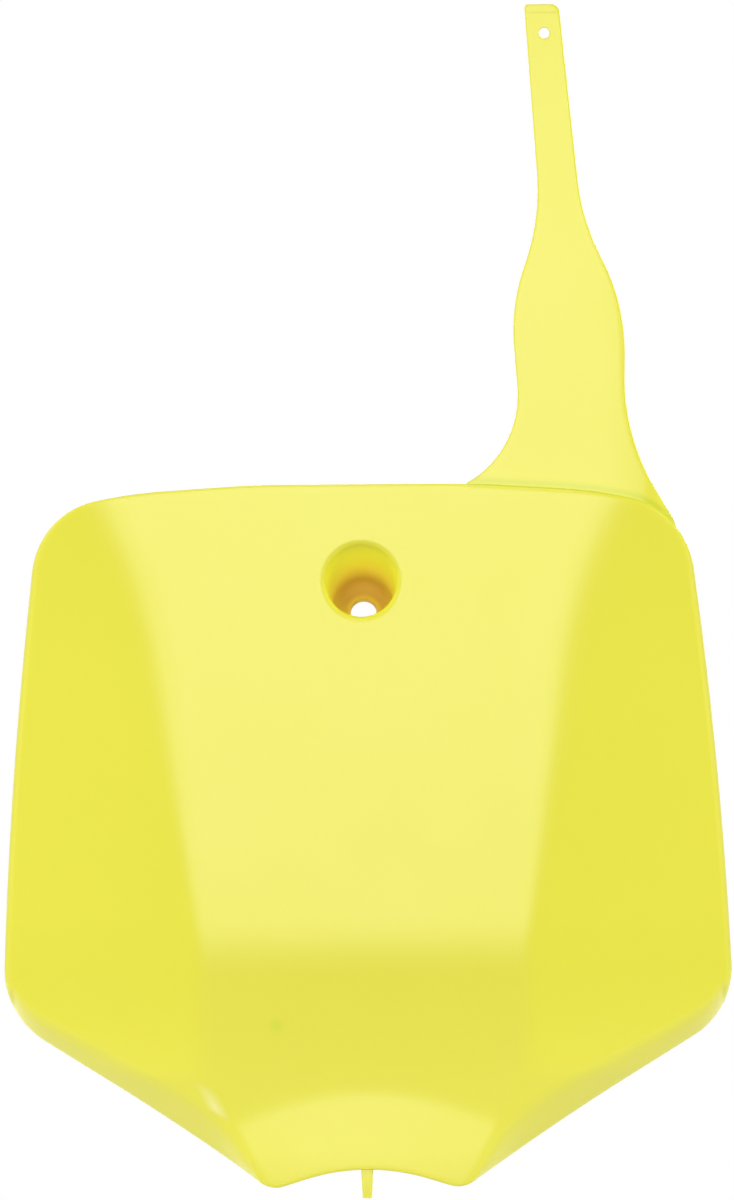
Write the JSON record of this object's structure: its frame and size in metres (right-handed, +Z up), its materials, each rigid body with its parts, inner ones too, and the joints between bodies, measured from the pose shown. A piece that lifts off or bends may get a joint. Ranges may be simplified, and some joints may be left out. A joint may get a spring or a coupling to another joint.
{
  "type": "racing number board",
  "caption": "One-piece moulded front number board for a motocross bike: shield with folded wings, slanted bolt cup, bottom tongue and side strap.",
  "frame": {"origin": "centre of the bolt hole, halfway through the floor of the cup", "axes": "+Z up the face towards the strap, +X to the right as seen from the front, the front looks along -Y"},
  "size_m": [0.2306, 0.0426, 0.3769],
  "materials": {
    "plate_plastic": "neon yellow, smooth and softly glossy, moulded in one colour"
  },
  "bodies": {
    "root": {"number_plate": "plate_plastic"}
  },
  "joints": []
}
